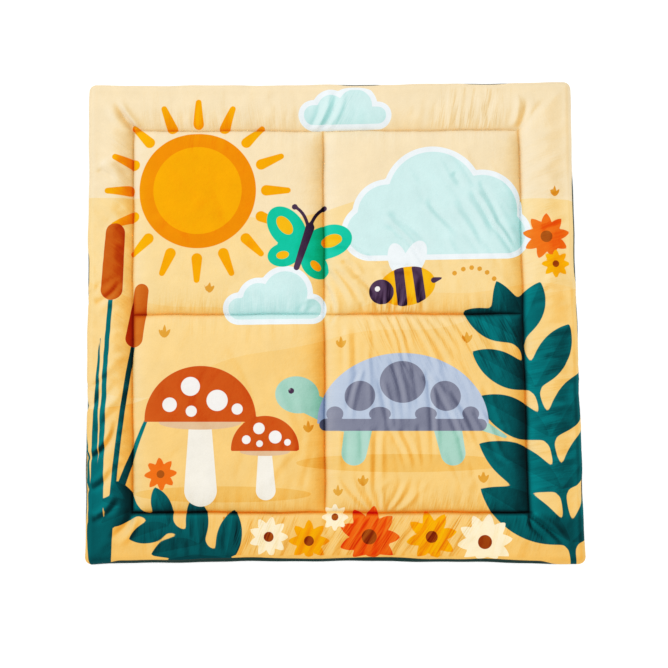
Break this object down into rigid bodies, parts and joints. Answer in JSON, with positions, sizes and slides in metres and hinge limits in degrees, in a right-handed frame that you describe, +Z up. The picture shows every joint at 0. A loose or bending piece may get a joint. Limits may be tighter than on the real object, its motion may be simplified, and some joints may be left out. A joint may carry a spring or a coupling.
{
  "type": "padded baby play mat",
  "caption": "Square padded play mat with a printed quilted top, stitched into panels inside a rolled border, on a plain back cloth.",
  "frame": {"origin": "on the floor, at the middle of the mat's outline", "axes": "+Z up through the filling, +X to the right and +Y to the back edge, with the print upright seen from above"},
  "size_m": [1.0072, 0.9834, 0.0283],
  "materials": {
    "printed_cloth": "soft brushed polyester cloth with a printed nursery pattern, over soft wadding",
    "back_cloth": "plain dark green woven polyester"
  },
  "bodies": {
    "root": {"printed_top": "printed_cloth", "plain_back": "back_cloth"}
  },
  "joints": []
}
